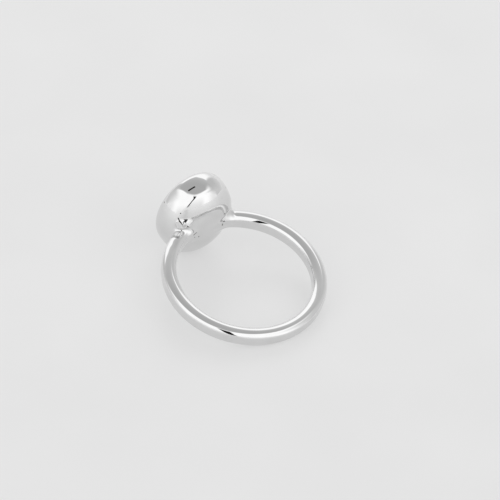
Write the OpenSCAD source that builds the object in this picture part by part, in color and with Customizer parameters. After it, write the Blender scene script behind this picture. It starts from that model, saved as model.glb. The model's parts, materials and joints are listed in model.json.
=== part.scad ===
/*
Ring with one oval stone in a closed-back cup, lying on its side.
The band is a round wire, flattened a little on its outer side and on the finger's side. Its two ends run into the
back of the cup and are soldered there, so band and cup are one solid. The cup is a bowl with a domed back, a full
side and a lip rolled in over the stone.
The ring lies as it comes to rest: on the far side of the band and on the lower side of the cup.
*/

/* [Band] */
// Diameter of the opening for the finger
finger_d = 17.3; // [16.5:0.1:18.5]
// Thickness of the band, outwards from the finger
band_thick = 1.85; // [1.5:0.05:2.1]
// Width of the band along the finger, which is the wire's diameter before it was flattened
band_width = 2.2; // [2.1:0.05:2.6]
// Radius of the band's four rounded edges
edge_radius = 0.2; // [0.1:0.05:0.4]
// Lean of the flattened sides at the edges, in degrees: at 90 they are quite flat
flat_lean = 83; // [78:1:88]

/* [Cup] */
// Width of the cup across the finger
cup_across = 9.9; // [9.8:0.05:10.4]
// Width of the cup along the finger
cup_along = 12.15; // [12:0.05:12.8]
// How far the tip of the cup's back stands into the opening for the finger
back_bulge = 0.45; // [0.3:0.05:0.7]
// Radius of the domed back
back_radius = 4.3; // [4:0.1:4.6]
// Slope of the back where it leaves its flatter tip, in degrees
back_start = 8; // [7:0.5:10]
// Slope of the back where it turns into the corner, in degrees
back_end = 53; // [51:0.5:55]
// Radius of the corner between back and side
corner_radius = 0.9; // [0.7:0.1:1.2]
// Radius of the side's fullness
side_radius = 5.2; // [4.8:0.1:5.5]
// Lean of the side where it leaves the back's corner, in degrees: at 90 it stands straight
side_start = 70; // [67:1:73]
// Lean of the side where the roll of the front starts, in degrees
side_end = 97; // [96:1:101]
// Radius of the roll at the front
roll_radius = 1.25; // [1.1:0.05:1.3]
// Thickness of the cup's back behind the stone
back_wall = 0.6; // [0.5:0.05:0.8]
// How far the lip reaches in over the stone
lip_reach = 0.3; // [0.2:0.05:0.4]
// Thickness of the lip over the stone's edge
lip_thick = 0.35; // [0.25:0.05:0.45]

/* [Stone] */
// Width of the stone across the finger
stone_across = 8; // [7.6:0.1:8.1]
// Width of the stone along the finger
stone_along = 10; // [9.6:0.1:10.1]
// Height of the crown above the girdle
crown_height = 1.25; // [0.9:0.05:1.5]
// Thickness of the girdle
girdle_height = 0.25; // [0.15:0.05:0.35]
// Depth of the pavilion below the girdle
pavilion_depth = 3.2; // [2.6:0.05:3.2]
// Width of the table as a share of the stone's width
table_share = 0.58; // [0.5:0.01:0.65]
// Gap between the stone and the metal
stone_gap = 0.06; // [0.04:0.01:0.1]

/* [Hidden] */

band_r = (finger_d + band_thick) / 2;
thick_half = band_thick / 2;
width_half = band_width / 2;
cup_half = cup_across / 2;
cup_ratio = cup_along / cup_across;
stone_half = stone_across / 2;
stone_ratio = stone_along / stone_across;
opening_half = stone_half - lip_reach;

// Points of an arc, to run straight on from the one before it: at lean 0 it faces down, at 90 outwards, at 180 up
function arc_at(center, radius, lean) = center + radius * [sin(lean), -cos(lean)];
function arc(center, radius, low, high, steps) =
    [for (i = [1 : steps]) arc_at(center, radius, low + (high - low) * i / steps)];

// The band's section, from arcs that run on into each other: the wire's round, an edge and a flattened side. Each
// point is [distance outwards, distance along the finger] from the wire's middle.
section_steps = 4;
flat_turn = (90 - flat_lean) / 2;
edge_lean = asin((thick_half - edge_radius) / (width_half - edge_radius) * cos(flat_turn)) - flat_turn;
edge_center = arc_at([0, 0], width_half - edge_radius, edge_lean);
flat_radius = edge_radius - edge_center[1] / cos(flat_lean);
section_quarter = concat(
    [[0, -width_half]],
    arc([0, 0], width_half, 0, edge_lean, section_steps),
    arc(edge_center, edge_radius, edge_lean, flat_lean, section_steps),
    arc([thick_half - flat_radius, 0], flat_radius, flat_lean, 90, section_steps)
);
quarter_end = len(section_quarter) - 1;
section_half = concat(
    section_quarter,
    [for (i = [quarter_end - 1 : -1 : 0]) [section_quarter[i][0], -section_quarter[i][1]]]
);
band_section = concat(
    section_half,
    [for (i = [2 * quarter_end - 1 : -1 : 1]) [-section_half[i][0], section_half[i][1]]]
);
function section_reach(out, along) = max([for (p = band_section) p[0] * out + p[1] * along]);

// The bowl's outline: arcs that run on into each other, from the tip of the back round the widest part to the top
// of the roll. Each point is [half width, level], the levels first counted from the widest part.
bowl_steps = 10;
side_center = [cup_half - side_radius, 0];
corner_center = arc_at(side_center, side_radius - corner_radius, side_start);
back_center = arc_at(corner_center, corner_radius - back_radius, back_end);
tip_radius = back_radius + back_center[0] / sin(back_start);
tip_center = arc_at(back_center, back_radius - tip_radius, back_start);
roll_center = arc_at(side_center, side_radius - roll_radius, side_end);

// The cup's own heights are counted from the middle of the finger, along the cup's axis
back_level = finger_d / 2 - back_bulge;
wide_level = back_level + tip_radius - tip_center[1];
lip_level = wide_level + roll_center[1] + roll_radius;
bowl_outline = [for (p = concat(
    [arc_at(tip_center, tip_radius, 0)],
    arc(tip_center, tip_radius, 0, back_start, bowl_steps),
    arc(back_center, back_radius, back_start, back_end, bowl_steps),
    arc(corner_center, corner_radius, back_end, side_start, bowl_steps),
    arc(side_center, side_radius, side_start, side_end, bowl_steps),
    arc(roll_center, roll_radius, side_end, 180, bowl_steps),
    [[0, lip_level - wide_level]]
)) [p[0], wide_level + p[1]]];

// The stone sits just under the lip: its steepest facets rise this far within the lip's reach
main_facets = 8;
girdle_sides = 2 * main_facets;
half_turn = 180 / main_facets;
star_share = 0.8;
half_share = 0.28;
// A bezel facet is flat from the table's corner to the girdle, and a main from the culet to the girdle
star_level = crown_height * (1 - star_share * cos(half_turn)) / (1 - table_share);
half_level = pavilion_depth * (1 - half_share * cos(half_turn));
rise_at_opening = star_level / (1 - star_share) * lip_reach / stone_half;
girdle_top = lip_level - lip_thick - stone_gap - rise_at_opening;
girdle_low = girdle_top - girdle_height;
table_level = girdle_top + crown_height;
culet_level = girdle_low - pavilion_depth;

// The hollow of the cup: a floor that follows the domed back, a wall with a seat for the stone, and the underside
// of the lip
seat_share = 0.84;
above_lip = 1;
seat_half = seat_share * stone_half;
seat_level = girdle_low - pavilion_depth * (1 - seat_share) - stone_gap;
wall_half = stone_half + stone_gap;
floor_radius = back_radius - back_wall;
floor_end = asin((seat_half - back_center[0]) / floor_radius);
floor_outline = [for (p = concat(
    [arc_at(tip_center, tip_radius - back_wall, 0)],
    arc(tip_center, tip_radius - back_wall, 0, back_start, bowl_steps),
    arc(back_center, floor_radius, back_start, floor_end, bowl_steps)
)) [p[0], wide_level + p[1]]];
cup_hollow = concat(floor_outline, [
    [seat_half, seat_level],
    [wall_half, girdle_low - stone_gap],
    [wall_half, girdle_top + stone_gap],
    [opening_half, lip_level - lip_thick],
    [opening_half, lip_level + above_lip],
    [0, lip_level + above_lip],
]);

// The angle at which the band's far side and the cup's lower side touch the surface together
function low_of_band(tilt) = -band_r * sin(tilt) - section_reach(sin(tilt), cos(tilt));
function low_of_cup(tilt) =
    min([for (p = bowl_outline) p[1] * sin(tilt) - p[0] * cup_ratio * cos(tilt)]);
function rest_angle(low, high, turns) = let (mid = (low + high) / 2)
    turns == 0 ? mid
    : low_of_cup(mid) > low_of_band(mid) ? rest_angle(low, mid, turns - 1)
    : rest_angle(mid, high, turns - 1);
rest_tilt = rest_angle(0, 40, 24);
rest_height = -low_of_band(rest_tilt);

// The middle of the whole length, from the band's far side to the stone's table
far_reach = -band_r * cos(rest_tilt) - section_reach(cos(rest_tilt), sin(rest_tilt));
function near_of(level, half) = level * cos(rest_tilt) + half * sin(rest_tilt);
table_reach = near_of(table_level, stone_half * table_share * stone_ratio);
cup_reach = max([for (p = bowl_outline) near_of(p[1], p[0] * cup_ratio)]);
middle = (far_reach + max(table_reach, cup_reach)) / 2;

module at_rest() {
    translate([0, -middle, rest_height]) rotate([rest_tilt, 0, 0]) children();
}

// Turns a shape drawn along Z so that it stands along the cup's axis
module along_cup(ratio) {
    rotate([-90, 0, 0]) scale([1, ratio, 1]) children();
}

// The wire bent into a ring; inside the cup it is cut away with the cup's hollow
module band() {
    rotate_extrude($fn = 180) translate([band_r, 0]) polygon(band_section);
}

module bowl() {
    along_cup(cup_ratio) rotate_extrude($fn = 144) polygon(bowl_outline);
}

module hollow() {
    along_cup(stone_ratio) rotate_extrude($fn = 144) polygon(cup_hollow);
}

module band_and_cup() {
    color("silver") at_rest() difference() {
        union() {
            band();
            bowl();
        }
        hollow();
    }
}

// An oval brilliant: table, 8 stars, 8 bezels and 16 halves above the girdle, 8 mains and 16 halves below it
function around(share, turn, level) =
    [stone_half * share * cos(turn), stone_half * share * sin(turn), level];
stone_points = concat(
    [for (i = [0 : main_facets - 1]) around(table_share, 2 * half_turn * i, girdle_top + crown_height)],
    [for (i = [0 : main_facets - 1]) around(star_share, 2 * half_turn * (i + 0.5), girdle_top + star_level)],
    [for (i = [0 : girdle_sides - 1]) around(1, half_turn * i, girdle_top)],
    [for (i = [0 : girdle_sides - 1]) around(1, half_turn * i, girdle_low)],
    [for (i = [0 : main_facets - 1]) around(half_share, 2 * half_turn * (i + 0.5), girdle_low - half_level)],
    [[0, 0, culet_level]]
);
function table_at(i) = i % main_facets;
function star_at(i) = main_facets + (i + main_facets) % main_facets;
function top_at(i) = 2 * main_facets + i % girdle_sides;
function low_at(i) = top_at(i) + girdle_sides;
function half_at(i) = 2 * main_facets + 2 * girdle_sides + (i + main_facets) % main_facets;
culet = len(stone_points) - 1;
stone_facets = concat(
    [[for (i = [main_facets - 1 : -1 : 0]) table_at(i)]],
    [for (i = [0 : main_facets - 1]) [table_at(i), table_at(i + 1), star_at(i)]],
    [for (i = [0 : main_facets - 1]) [table_at(i), star_at(i), top_at(2 * i), star_at(i - 1)]],
    [for (i = [0 : main_facets - 1], k = [0, 1]) [star_at(i), top_at(2 * i + k + 1), top_at(2 * i + k)]],
    [for (i = [0 : girdle_sides - 1]) [top_at(i), top_at(i + 1), low_at(i + 1), low_at(i)]],
    [for (i = [0 : main_facets - 1], k = [0, 1]) [low_at(2 * i + k), low_at(2 * i + k + 1), half_at(i)]],
    [for (i = [0 : main_facets - 1]) [low_at(2 * i), half_at(i), culet, half_at(i - 1)]]
);

module stone() {
    color("royalblue") at_rest() along_cup(stone_ratio)
        polyhedron(points = stone_points, faces = stone_facets);
}

band_and_cup();
stone();
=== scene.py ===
"""A silver ring with one oval sapphire in a closed-back cup, lying on its side on a pale studio floor.

The metal is modelled in millimetres about the middle of the finger, with the finger along Z and the cup
towards +Y. It is then laid down where the record's finger hole says, which is how the solids lie.
"""
import json
import math

import bmesh
import bpy
import numpy as np
from mathutils import Matrix, Vector


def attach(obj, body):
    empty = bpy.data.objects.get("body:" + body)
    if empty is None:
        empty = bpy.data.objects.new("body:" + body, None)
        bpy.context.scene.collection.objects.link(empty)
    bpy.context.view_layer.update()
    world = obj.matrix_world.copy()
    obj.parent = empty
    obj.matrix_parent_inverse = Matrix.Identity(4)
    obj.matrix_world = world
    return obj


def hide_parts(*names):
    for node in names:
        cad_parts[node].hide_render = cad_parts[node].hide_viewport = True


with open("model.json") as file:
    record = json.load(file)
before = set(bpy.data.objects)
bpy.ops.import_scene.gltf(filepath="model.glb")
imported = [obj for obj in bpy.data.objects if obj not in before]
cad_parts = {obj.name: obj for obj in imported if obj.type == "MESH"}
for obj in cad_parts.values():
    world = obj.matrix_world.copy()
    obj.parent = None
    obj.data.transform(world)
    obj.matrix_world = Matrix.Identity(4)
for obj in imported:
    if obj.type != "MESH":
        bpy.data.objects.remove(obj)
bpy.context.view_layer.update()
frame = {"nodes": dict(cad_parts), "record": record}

MM = 0.001
FULL_TURN = 2 * math.pi

# The band and the cup, in millimetres and degrees, as the solids have them
finger_d = 17.3
band_thick = 1.85
band_width = 2.2
edge_radius = 0.2
flat_lean = 83
cup_across = 9.9
cup_along = 12.15
back_bulge = 0.45
back_radius = 4.3
back_start = 8
back_end = 53
corner_radius = 0.9
side_radius = 5.2
side_start = 70
side_end = 97
roll_radius = 1.25
back_wall = 0.6
lip_reach = 0.3
lip_thick = 0.35

# The stone and its seat
stone_across = 8
stone_along = 10
crown_height = 1.25
girdle_height = 0.25
pavilion_depth = 3.2
table_share = 0.58
star_share = 0.8
seat_share = 0.84
stone_gap = 0.06

# How far solder fills the corner between band and cup, and its beads: each has a start, an end and a radius
solder_run = 0.7
bead_run = 0.5
left_bead = ((-3.9, 9.45, 1.9), (-3.0, 9.1, 2.1), 0.45)
right_bead = ((1.0, 9.0, 0.6), (3.2, 9.0, 0.3), 0.9)
beads = [left_bead, right_bead]

# The unevenness that hand work leaves: long swells all over, shorter facets where the left arm was filed,
# and the buffing wheel's ripples on the cup's side, which sway and come and go in patches
uneven_height = 0.012
uneven_wave = 4.5
uneven_waves = 14
uneven_spread = (0.6, 1.6)
uneven_seed = 11
filed_place = (-4.9, 7.2)
filed_reach = 1.6
filed_height = 0.1
filed_wave = 2.25
ripple_height = 0.004
ripple_turns = 47
ripple_level = 1.0
ripple_reach = 2.5
ripple_sway = 1.5
sway_turns = 7
patch_turns = 11
patch_slant = 0.6

# Black marks on the metal: polishing paste beside the solder and in the casting's pits, and in the first row
# a painted reflection of the tent's dark slit on the cup's side.
# Columns: start, end, radius
paste_and_slit_reflection_marks = [
    # A painted reflection: the tent's dark slit as mirrored in the cup's side, painted black on the metal
    ((-2.0, 11.43, 5.5), (-1.22, 11.4, 5.82), 0.14),
    ((-3.97, 10.0, 2.64), (-3.95, 9.69, 2.42), 0.11),
    ((-3.95, 9.69, 2.42), (-3.83, 9.14, 2.31), 0.12),
    ((-3.3, 8.7, 2.1), (-3.2, 8.7, 1.95), 0.12),
    ((-2.34, 8.23, 0.46), (-1.96, 8.26, 0.72), 0.07),
    ((-2.12, 8.22, -0.06), (-2.1, 8.22, -0.1), 0.08),
    ((-1.46, 8.22, -0.24), (-1.42, 8.22, -0.33), 0.09),
    ((2.1, 8.17, 0.95), (2.14, 8.17, 1.02), 0.11),
    ((1.87, 8.03, 0.45), (1.87, 8.06, 0.7), 0.08),
    ((3.49, 10.93, 4.11), (3.44, 10.7, 4.07), 0.06),
    ((-4.25, 12.87, 2.89), (-4.27, 12.8, 2.83), 0.07),
    ((-3.7, 10.1, 3.31), (-3.66, 10.1, 3.36), 0.08),
]

band_r = (finger_d + band_thick) / 2
thick_half = band_thick / 2
width_half = band_width / 2
cup_half = cup_across / 2
cup_ratio = cup_along / cup_across
stone_half = stone_across / 2
stone_ratio = stone_along / stone_across
opening_half = stone_half - lip_reach


def arc_at(center, radius, lean):
    """A point of an arc: at lean 0 it faces down, at 90 outwards and at 180 up."""
    turn = math.radians(lean)
    return (center[0] + radius * math.sin(turn), center[1] - radius * math.cos(turn))


# The band's section, from its wire's middle: the wire's round, an edge and a flattened side
flat_turn = math.radians(90 - flat_lean) / 2
edge_share = (thick_half - edge_radius) / (width_half - edge_radius) * math.cos(flat_turn)
edge_lean = math.degrees(math.asin(edge_share) - flat_turn)
edge_center = arc_at((0, 0), width_half - edge_radius, edge_lean)
flat_radius = edge_radius - edge_center[1] / math.cos(math.radians(flat_lean))
section_arcs = [
    ((0, 0), width_half, 0, edge_lean),
    (edge_center, edge_radius, edge_lean, flat_lean),
    ((thick_half - flat_radius, 0), flat_radius, flat_lean, 90),
]

# The bowl's outline, from the middle of its widest level: tip, dome, corner, side and roll, one after another
side_center = (cup_half - side_radius, 0)
corner_center = arc_at(side_center, side_radius - corner_radius, side_start)
roll_center = arc_at(side_center, side_radius - roll_radius, side_end)
back_center = arc_at(corner_center, corner_radius - back_radius, back_end)
tip_radius = back_radius + back_center[0] / math.sin(math.radians(back_start))
tip_center = arc_at(back_center, back_radius - tip_radius, back_start)
back_level = finger_d / 2 - back_bulge
wide_level = back_level + tip_radius - tip_center[1]
lip_level = wide_level + roll_center[1] + roll_radius
bowl_arcs = [
    (tip_center, tip_radius, 0, back_start),
    (back_center, back_radius, back_start, back_end),
    (corner_center, corner_radius, back_end, side_start),
    (side_center, side_radius, side_start, side_end),
    (roll_center, roll_radius, side_end, 180),
]
arc_points = 200


def turn_and_reach(arcs, last=()):
    """An outline as seen from its middle: the turn and the distance of each of its points."""
    points = [arc_at(c, r, lean) for c, r, low, high in arcs for lean in np.linspace(low, high, arc_points)]
    out, level = np.array(points + list(last)).T
    return np.arctan2(out, -level), np.hypot(out, level)


section_outline = turn_and_reach(section_arcs)
bowl_outline = turn_and_reach(bowl_arcs, [(0, roll_center[1] + roll_radius)])


def off_band(p):
    """How far points stand off the band's wire, negative inside it."""
    out, along = np.abs(np.hypot(p[:, 0], p[:, 1]) - band_r), np.abs(p[:, 2])
    return np.hypot(out, along) - np.interp(np.arctan2(out, along), *section_outline)


def off_cup(p):
    """How far points stand off the cup's bowl, negative inside it."""
    half, drop = np.hypot(p[:, 0], p[:, 2] / cup_ratio), wide_level - p[:, 1]
    return np.hypot(half, drop) - np.interp(np.arctan2(half, drop), *bowl_outline)


def off_bead(p, start, end, radius):
    """How far points stand off a bead of solder run out along a line."""
    start, line = np.array(start), np.array(end) - np.array(start)
    share = np.clip((p - start) @ line / (line @ line), 0, 1)
    return np.linalg.norm(p - start - share[:, None] * line, axis=1) - radius


rng = np.random.default_rng(uneven_seed)
waves = rng.normal(size=(uneven_waves, 3))
wave_shares = rng.uniform(*uneven_spread, uneven_waves) / np.linalg.norm(waves, axis=1)
waves *= (FULL_TURN / uneven_wave * wave_shares)[:, None]
phases = rng.uniform(0, FULL_TURN, uneven_waves)


def unevenness(p):
    """The low swells and hollows that hand polishing leaves, and the left arm's filed facets."""
    swells = np.sin(p @ waves.T + phases).mean(axis=1)
    facets = np.sin(p @ waves.T * (uneven_wave / filed_wave) + phases).mean(axis=1)
    away = np.hypot(p[:, 0] - filed_place[0], p[:, 1] - filed_place[1])
    return uneven_height * swells + filed_height * np.exp(-((away / filed_reach) ** 2)) * facets


def ripples(p):
    """Fine ripples from the buffing wheel, which run over the cup's side from its back to its lip."""
    turn, drop = np.arctan2(p[:, 2] / cup_ratio, p[:, 0]), wide_level - p[:, 1]
    fade = np.clip(1 - np.abs(drop - ripple_level) / ripple_reach, 0, 1)
    fine = np.sin(turn * ripple_turns + ripple_sway * np.sin(turn * sway_turns + drop))
    return ripple_height * fade * fine * np.sin(turn * patch_turns + patch_slant * drop)


def run_together(a, b, run):
    """Two shapes joined with the corner between them filled."""
    share = np.clip(0.5 + 0.5 * (a - b) / run, 0, 1)
    return a + (b - a) * share - run * share * (1 - share)


def off_metal(p):
    """Band and cup run together by solder, with its beads and the unevenness."""
    off = run_together(off_band(p), off_cup(p), solder_run)
    for bead in beads:
        off = run_together(off, off_bead(p, *bead), bead_run)
    return off - unevenness(p) - ripples(p)


def settle(p, rounds=14, probe=0.002, least=0.1):
    """Moves points straight on to the metal's surface, by the steepness found with a small probe."""
    for _ in range(rounds):
        ahead = [off_metal(p + s) - off_metal(p - s) for s in np.eye(3) * probe]
        steepness = np.stack(ahead, axis=1) / (2 * probe)
        p = p - steepness * (off_metal(p) / np.maximum((steepness**2).sum(axis=1), least))[:, None]
    return p


# The cup's cage has rings at these half widths of the back and at these leans of the other arcs. The arms
# enter between the first and last ring of the back, through openings that are wider the further out.
cage_sides = 16
back_rings = (1.5, 2.8, 4.1)
corner_leans = (57, 66)
side_leans = (74, 84, 93)
roll_leans = (102, 122, 142, 162)
opening_spread = 0.4


def back_at(half):
    """The point of the domed back at this half width."""
    return (half, back_center[1] - math.sqrt(back_radius**2 - (half - back_center[0]) ** 2))


cage_outline = [arc_at(tip_center, tip_radius, 0)]
cage_outline += [back_at(half) for half in back_rings]
cage_outline += [arc_at(corner_center, corner_radius, lean) for lean in corner_leans]
cage_outline += [arc_at(side_center, side_radius, lean) for lean in side_leans]
cage_outline += [arc_at(roll_center, roll_radius, lean) for lean in roll_leans]
cage_outline += [(opening_half, lip_level - wide_level)]

# The band's cage: its section's corners, its steps round the finger, and where its ends stop short of the cup
section_sides = 8
band_steps = 44
arm_end = math.radians(22.5)
arm_slant = math.radians(5.5)

# How finely the cage is divided, how much further round the beads, and where edges merge or stay sharp
cage_levels = 3
bead_levels = 2
bead_margin = 0.3
weld = 0.001
fine_weld = 0.0005
sharp_angle = math.radians(30)

# The lip's inner edge, rounded in two small steps, and the rings of the cup's floor
edge_drops = (0.02, 0.06)
edge_draw = 0.012
floor_rings = 6


def edges_of(verts):
    """The edges between these vertices."""
    chosen = set(verts)
    return [e for e in {e for v in verts for e in v.link_edges} if set(e.verts) <= chosen]


def spin_cup(bm):
    """The outside of the cup, open at the lip and where the band's arms enter."""
    line = [bm.verts.new((half, wide_level + level, 0)) for half, level in cage_outline]
    edges = [bm.edges.new(pair) for pair in zip(line, line[1:])]
    bmesh.ops.spin(bm, geom=line + edges, axis=(0, 1, 0), angle=FULL_TURN, steps=cage_sides, use_merge=True)
    bmesh.ops.remove_doubles(bm, verts=bm.verts, dist=weld)

    def in_opening(face):
        middle = face.calc_center_median()
        on_back = back_rings[0] < math.hypot(middle.x, middle.z) < back_rings[-1]
        return on_back and middle.y < wide_level and abs(middle.z) < abs(middle.x) * opening_spread

    bmesh.ops.delete(bm, geom=[f for f in bm.faces if in_opening(f)], context="FACES")
    bmesh.ops.scale(bm, vec=(1, 1, cup_ratio), verts=bm.verts)
    rims = [e for e in bm.edges if e.is_boundary and e.verts[0].co.y < wide_level]
    return [[e for e in rims if side * e.verts[0].co.x > 0] for side in (1, -1)]


def spin_band(bm):
    """The band's wire, open at its two ends, which are slanted to the cup's back."""
    ring = bmesh.ops.create_circle(bm, segments=section_sides, radius=1)["verts"]
    for v in ring:
        place = Vector((0, band_r + v.co.x * thick_half, v.co.y * width_half))
        v.co = Matrix.Rotation(-arm_end, 3, "Z") @ place
    made = bmesh.ops.spin(
        bm, geom=ring + edges_of(ring), axis=(0, 0, 1), angle=-(FULL_TURN - 2 * arm_end), steps=band_steps
    )
    far = [g for g in made["geom_last"] if isinstance(g, bmesh.types.BMVert)]
    for side, end in ((1, ring), (-1, far)):
        for v in end:
            slant = (math.hypot(v.co.x, v.co.y) - band_r) / thick_half * arm_slant
            v.co = Matrix.Rotation(-side * slant, 3, "Z") @ v.co
    return edges_of(ring), edges_of(far)


def rounded(bm, levels):
    """Rounds a cage off by subdividing it."""
    mesh = bpy.data.meshes.new("cage")
    bm.to_mesh(mesh)
    cage = bpy.data.objects.new("cage", mesh)
    bpy.context.scene.collection.objects.link(cage)
    rounding = cage.modifiers.new("rounding", "SUBSURF")
    rounding.levels = rounding.render_levels = levels
    smooth = cage.evaluated_get(bpy.context.evaluated_depsgraph_get())
    bm.clear()
    bm.from_mesh(smooth.to_mesh())
    bpy.data.objects.remove(cage)
    bpy.data.meshes.remove(mesh)


def divide_round_beads(bm):
    """Finer faces where the solder's beads are."""
    bm.verts.index_update()
    places = np.array([v.co for v in bm.verts])
    near = np.min([off_bead(places, *bead) for bead in beads], axis=0) < bead_run + bead_margin
    edges = [e for e in bm.edges if all(near[v.index] for v in e.verts)]
    bmesh.ops.subdivide_edges(bm, edges=edges, cuts=1, use_grid_fill=True)


def settle_verts(bm):
    """Moves all vertices on to the metal's surface."""
    places = settle(np.array([v.co for v in bm.verts]))
    for v, place in zip(bm.verts, places):
        v.co = place


def girdle_top():
    """The stone's widest level, from which the crown slopes up to its star points and comes up to the lip."""
    star_level = crown_height * (1 - star_share * math.cos(FULL_TURN / 16)) / (1 - table_share)
    return lip_level - lip_thick - stone_gap - star_level / (1 - star_share) * lip_reach / stone_half


def line_cup(bm):
    """Turns the lip in over the stone, and goes down inside to the seat and the floor."""
    ring = [e for e in bm.edges if e.is_boundary]
    for v in {v for e in ring for v in e.verts}:
        turn = math.atan2(v.co.z / stone_ratio, v.co.x)
        v.co.x, v.co.z = opening_half * math.cos(turn), opening_half * stone_ratio * math.sin(turn)
        v.co.y = lip_level - edge_drops[0]
    top = girdle_top()
    low = top - girdle_height
    seat_half = seat_share * stone_half
    floor_radius = back_radius - back_wall
    floor_end = math.degrees(math.asin((seat_half - back_center[0]) / floor_radius))
    floor_leans = np.linspace(floor_end, back_start, floor_rings)
    floor = [arc_at(back_center, floor_radius, lean) for lean in floor_leans]
    floor += [arc_at(tip_center, tip_radius - back_wall, back_start / 2)]
    steps = [
        (opening_half - edge_draw, lip_level - edge_drops[1]),
        (opening_half - edge_draw, lip_level - lip_thick),
        (stone_half + stone_gap, top + stone_gap),
        (stone_half + stone_gap, low - stone_gap),
        (seat_half, low - pavilion_depth * (1 - seat_share) - stone_gap),
    ]
    steps += [(half, wide_level + level) for half, level in floor]
    half_now = opening_half
    for half, level in steps:
        made = bmesh.ops.extrude_edge_only(bm, edges=ring)["geom"]
        verts = [g for g in made if isinstance(g, bmesh.types.BMVert)]
        ring = edges_of(verts)
        bmesh.ops.scale(bm, vec=(half / half_now, 1, half / half_now), verts=verts)
        for v in verts:
            v.co.y = level
        half_now = half
    bmesh.ops.edgeloop_fill(bm, edges=ring)


def in_scene(bm, name):
    """Makes the shape an object of the scene."""
    mesh = bpy.data.meshes.new(name)
    bm.to_mesh(mesh)
    bm.free()
    piece = bpy.data.objects.new(name, mesh)
    bpy.context.scene.collection.objects.link(piece)
    return piece


def make_metal(name):
    """The band and the cup as one closed shell, laid down where the solids lie."""
    bm = bmesh.new()
    openings = spin_cup(bm)
    ends = spin_band(bm)
    for opening, end in zip(openings, ends):
        bmesh.ops.bridge_loops(bm, edges=opening + end)
    bmesh.ops.recalc_face_normals(bm, faces=bm.faces)
    rounded(bm, cage_levels)
    settle_verts(bm)
    for _ in range(bead_levels):
        divide_round_beads(bm)
    settle_verts(bm)
    line_cup(bm)
    bmesh.ops.remove_doubles(bm, verts=bm.verts, dist=fine_weld)
    bmesh.ops.recalc_face_normals(bm, faces=bm.faces)
    for f in bm.faces:
        f.smooth = True
    for e in bm.edges:
        e.smooth = not (len(e.link_faces) == 2 and e.calc_face_angle() > sharp_angle)
    bmesh.ops.transform(bm, matrix=lie_down, verts=bm.verts)
    return in_scene(bm, name)


hole = next(m for m in frame["record"]["mounts"] if m["name"] == "finger_hole")
hole_middle, hole_axis = Vector(hole["pos_m"]), Vector(hole["axis"])
rest_tilt = math.atan2(-hole_axis.y, hole_axis.z)
lie_down = Matrix.Translation(hole_middle) @ Matrix.Rotation(rest_tilt, 4, "X") @ Matrix.Scale(MM, 4)


# The sizes of the materials' patterns in millimetres, and the light table's glow
haze_size = 2.2
swell_size = 1.6
swell_depth = 0.004
blue_band_size = 3.0
sheet_cloud_size = 20
sheet_glow = 1.35


def srgb(text):
    """A colour given as sRGB hex, as linear values."""
    parts = [int(text[i : i + 2], 16) / 255 for i in (0, 2, 4)]
    return (*[p / 12.92 if p <= 0.04045 else ((p + 0.055) / 1.055) ** 2.4 for p in parts], 1)


def add(tree, kind, settings=None, links=None):
    """Adds a node. Settings are its own values, links its inputs: each a value or another node's output."""
    node = tree.nodes.new(kind)
    for key, value in (settings or {}).items():
        setattr(node, key, value)
    for key, value in (links or {}).items():
        if isinstance(value, bpy.types.NodeSocket):
            tree.links.new(value, node.inputs[key])
        else:
            node.inputs[key].default_value = value
    return node


def ramp(node, stops):
    """Sets a colour ramp's stops: place and linear colour or grey."""
    elements = node.color_ramp.elements
    while len(elements) > 1:
        elements.remove(elements[-1])
    for i, (place, color) in enumerate(stops):
        element = elements[0] if i == 0 else elements.new(place)
        element.position = place
        element.color = color if isinstance(color, tuple) else (color, color, color, 1)


def laid_over(tree, color, share, other):
    """One colour over another, as far as share says."""
    return add(tree, "ShaderNodeMix", {"data_type": "RGBA"}, {0: share, 6: color, 7: other}).outputs[2]


def faded(tree, value, start, end):
    """0 before start, 1 after end and softly between them."""
    links = {"Value": value, "From Min": start, "From Max": end}
    return add(tree, "ShaderNodeMapRange", {"interpolation_type": "SMOOTHSTEP"}, links).outputs["Result"]


def noise(tree, place, size, detail):
    """Noise whose cells have this size in millimetres."""
    links = {"Vector": place, "Scale": 1 / (size * MM), "Detail": detail}
    return add(tree, "ShaderNodeTexNoise", links=links).outputs["Fac"]


def new_material(name):
    """A material with one shader, and the object coordinates that its patterns use."""
    material = bpy.data.materials.new(name)
    material.use_nodes = True
    tree = material.node_tree
    tree.nodes.clear()
    output = add(tree, "ShaderNodeOutputMaterial")
    shader = add(tree, "ShaderNodeBsdfPrincipled")
    tree.links.new(shader.outputs[0], output.inputs["Surface"])
    place = add(tree, "ShaderNodeTexCoord").outputs["Object"]
    return material, tree, shader, place


def marked(tree, place, marks, core=0.4):
    """1 within the core of each mark, which runs from one point to another, and 0 outside its radius."""

    def vector(operation, links):
        return add(tree, "ShaderNodeVectorMath", {"operation": operation}, links).outputs

    share = 0.0
    for start, end, radius in marks:
        start, line = lie_down @ Vector(start), lie_down.to_3x3() @ (Vector(end) - Vector(start))
        away = vector("SUBTRACT", {0: place, 1: start})["Vector"]
        along = vector("DOT_PRODUCT", {0: away, 1: line / line.length_squared})["Value"]
        held = add(tree, "ShaderNodeClamp", links={"Value": along}).outputs[0]
        nearest = vector("SCALE", {0: line, "Scale": held})["Vector"]
        off = vector("DISTANCE", {0: away, 1: nearest})["Value"]
        fade = faded(tree, off, radius * MM, radius * MM * core)
        share = add(tree, "ShaderNodeMath", {"operation": "MAXIMUM"}, {0: fade, 1: share}).outputs["Value"]
    return share


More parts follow.
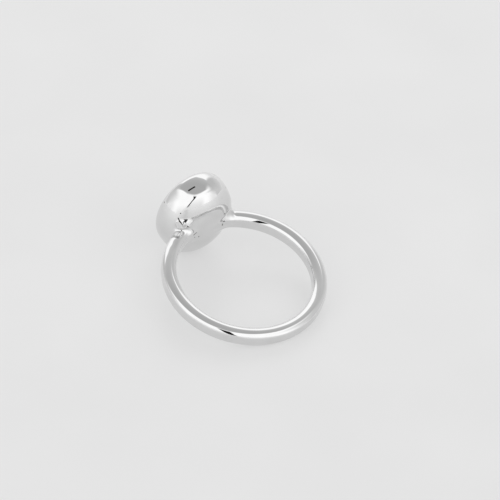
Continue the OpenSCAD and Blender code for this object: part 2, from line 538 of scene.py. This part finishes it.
def polished_silver():
    """Sterling silver, buffed by hand: a bright mirror with faint haze, black paste in its pits, and a
    painted reflection of the tent's dark slit on the cup's side.
    """
    material, tree, shader, place = new_material("polished_silver")
    shader.inputs["Metallic"].default_value = 1
    haze = noise(tree, place, haze_size, 3.0)
    tone = add(tree, "ShaderNodeValToRGB", links={"Fac": haze})
    ramp(tone, [(0.35, srgb("E3E3E3")), (0.7, srgb("DFDFDF"))])
    paste_and_slit_reflection = marked(tree, place, paste_and_slit_reflection_marks)
    # The black of the paste, also used for the painted reflection of the tent's slit on the cup's side
    tree.links.new(laid_over(tree, tone.outputs["Color"], paste_and_slit_reflection, srgb("16140F")), shader.inputs["Base Color"])
    links = {"Value": haze, "From Min": 0.35, "From Max": 0.75, "To Min": 0.03, "To Max": 0.07}
    gloss = add(tree, "ShaderNodeMapRange", links=links)
    tree.links.new(gloss.outputs["Result"], shader.inputs["Roughness"])
    links = {"Height": noise(tree, place, swell_size, 2.0), "Strength": 1.0, "Distance": swell_depth * MM}
    swell_bump = add(tree, "ShaderNodeBump", links=links)
    tree.links.new(swell_bump.outputs["Normal"], shader.inputs["Normal"])
    return material


def sapphire():
    """Cut and polished sapphire: deep clear blue, with faint bands of stronger and weaker colour."""
    material, tree, shader, place = new_material("sapphire")
    shader.inputs["IOR"].default_value = 1.77
    shader.inputs["Roughness"].default_value = 0.0
    shader.inputs["Transmission Weight"].default_value = 1.0
    blue = add(tree, "ShaderNodeValToRGB", links={"Fac": noise(tree, place, blue_band_size, 2.0)})
    ramp(blue, [(0.3, srgb("1F46B4")), (0.7, srgb("3563D8"))])
    tree.links.new(blue.outputs["Color"], shader.inputs["Base Color"])
    return material


def studio_sheet():
    """Opal acrylic on a light table: pale and matt, with a soft sheen at a low angle and a faint glow."""
    material, tree, shader, place = new_material("studio_sheet")
    tone = add(tree, "ShaderNodeValToRGB", links={"Fac": noise(tree, place, sheet_cloud_size, 2.0)})
    ramp(tone, [(0.3, srgb("9B9B9B")), (0.7, srgb("9D9D9D"))])
    tree.links.new(tone.outputs["Color"], shader.inputs["Base Color"])
    tree.links.new(tone.outputs["Color"], shader.inputs["Emission Color"])
    shader.inputs["Emission Strength"].default_value = sheet_glow
    shader.inputs["Roughness"].default_value = 0.4
    return material


metal = make_metal("silver_band_and_cup")
metal.data.materials.append(polished_silver())
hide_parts("band_and_cup")
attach(metal, "root")

stone = frame["nodes"]["stone"]
stone.data.materials.clear()
stone.data.materials.append(sapphire())

# The floor, in metres
floor_size = 3.0
bm = bmesh.new()
bmesh.ops.create_grid(bm, x_segments=1, y_segments=1, size=floor_size / 2)
floor = in_scene(bm, "floor")
floor.data.materials.append(studio_sheet())

# The camera looks from the photograph's side, and has the middle of the finger's hole at ring_pixel
view_azimuth = 323.34
view_elevation = 38.62
view_roll = 3.18
view_distance = 547.3
image_size = 500
sensor_width = 36
pixels_per_mm = 7.993
ring_pixel = (244.07, 276.90)


def rolled(direction):
    """The camera's turn when it looks from this direction."""
    return direction.to_track_quat("Z", "Y").to_matrix() @ Matrix.Rotation(math.radians(view_roll), 3, "Z")


azimuth, elevation = math.radians(view_azimuth), math.radians(view_elevation)
level_part, upright_part = math.cos(elevation), math.sin(elevation)
towards_camera = Vector((math.sin(azimuth) * level_part, -math.cos(azimuth) * level_part, upright_part))
camera_data = bpy.data.cameras.new("camera")
camera_data.sensor_width = sensor_width
camera_data.lens = pixels_per_mm * view_distance * sensor_width / image_size
camera_data.clip_end = 10
camera = bpy.data.objects.new("camera", camera_data)
bpy.context.scene.collection.objects.link(camera)
camera.location = hole_middle + towards_camera * view_distance * MM
aside = Vector((image_size / 2 - ring_pixel[0], ring_pixel[1] - image_size / 2, 0)) / pixels_per_mm * MM
aim = hole_middle + rolled(towards_camera) @ aside
camera.rotation_euler = rolled(camera.location - aim).to_euler()
bpy.context.scene.camera = camera

# The studio: a white tent lit from the camera's side, open overhead to a dim room, with a narrow slit for the
# camera. A direction is given by its arc in the camera's upright plane, from the near horizon at 0 over the
# zenith at 90 to the far horizon at 180, and by its side, the angle out of that plane.
tent_strength = 1.3

# The light of each part. Columns: arc, light
walls_light = [
    (0, 0.95), (15, 1.0), (45, 1.0), (60, 0.86), (75, 0.75),
    (85, 0.665), (95, 0.6), (110, 0.56), (160, 0.57), (180, 0.6),
]
rim_light = [(95, 0.52), (115, 0.48), (150, 0.50), (175, 0.6)]
ends_light = [(0, 0.78), (40, 0.8), (70, 0.68), (110, 0.56), (180, 0.56)]
near_light = [(0, 0.74), (8, 0.78), (20, 0.9), (30, 0.99), (120, 0.99)]
far_light = [(120, 0.99), (150, 0.97), (158, 0.88), (165, 0.76), (180, 0.68)]
opening_light = [(60, 0.385), (100, 0.40), (115, 0.44), (125, 0.50)]
slit_light = (0.01, 0.01, 0.01, 1)

# The two soft edges that bound each part. Columns: where the part begins to show, where it shows in full
past_horizon = (200, 190)
near_sides = ((-52, -36), (62, 44))
far_half_arcs = ((112, 124), past_horizon)
rim_sides = ((-60, -40), (64, 48))
rim_arcs = ((95, 118), past_horizon)
ends_sides = ((-78, -56), (78, 56))
far_sides = ((-30, -22), (42, 34))
far_arcs = ((124, 130), past_horizon)
opening_sides = ((-44, -28), (60, 42))
opening_low = ((58, 65), (300, 290))
opening_high = ((-20, -10), (131, 125))
slit_sides = ((-4.9, -3.4), (6.9, 5.4))
slit_arcs = ((4, 12), (60, 54))

# The near edge of the opening bows towards the camera at its middle
bow_middle = 5.0
bow_share = 0.018


def studio_tent():
    """The world: all of the tent's parts, laid over each other."""
    world = bpy.data.worlds.new("studio_tent")
    world.use_nodes = True
    tree = world.node_tree
    tree.nodes.clear()

    def reckon(operation, a, b=0.0):
        """One step of arithmetic with nodes."""
        return add(tree, "ShaderNodeMath", {"operation": operation}, {0: a, 1: b}).outputs["Value"]

    direction = add(tree, "ShaderNodeTexCoord").outputs["Generated"]
    links = {"Vector": direction, "Angle": math.pi / 2 - azimuth}
    turned = add(tree, "ShaderNodeVectorRotate", {"rotation_type": "Z_AXIS"}, links)
    part = add(tree, "ShaderNodeSeparateXYZ", links={"Vector": turned.outputs["Vector"]}).outputs
    arc = reckon("MULTIPLY", reckon("ARCTAN2", part["Z"], part["X"]), 180 / math.pi)
    side = reckon("MULTIPLY", reckon("ARCSINE", part["Y"]), -180 / math.pi)
    bow = reckon("MULTIPLY", reckon("POWER", reckon("SUBTRACT", side, bow_middle), 2.0), bow_share)
    bowed = reckon("SUBTRACT", arc, bow)

    def between(*bounds):
        """1 where every value lies between its two soft edges, and 0 outside them."""
        share = 1.0
        for value, edges in bounds:
            for start, end in edges:
                share = reckon("MULTIPLY", faded(tree, value, start, end), share)
        return share

    def lit(stops):
        """Light that changes along the arc."""
        along = add(tree, "ShaderNodeValToRGB", links={"Fac": reckon("DIVIDE", arc, 180)})
        ramp(along, [(place / 180, value) for place, value in stops])
        return along.outputs["Color"]

    walls = lit(walls_light)
    light = laid_over(tree, walls, between((side, near_sides)), lit(near_light))
    light = laid_over(tree, light, between((arc, far_half_arcs)), walls)
    light = laid_over(tree, light, between((side, rim_sides), (arc, rim_arcs)), lit(rim_light))
    light = laid_over(tree, lit(ends_light), between((side, ends_sides)), light)
    light = laid_over(tree, light, between((side, far_sides), (arc, far_arcs)), lit(far_light))
    open_share = between((bowed, opening_low), (arc, opening_high), (side, opening_sides))
    light = laid_over(tree, light, open_share, lit(opening_light))
    light = laid_over(tree, light, between((side, slit_sides), (arc, slit_arcs)), slit_light)
    background = add(tree, "ShaderNodeBackground", links={"Color": light, "Strength": tent_strength})
    add(tree, "ShaderNodeOutputWorld", links={"Surface": background.outputs[0]})
    return world


bpy.context.scene.world = studio_tent()
view = bpy.context.scene.view_settings
view.view_transform = "Standard"
view.look = "None"
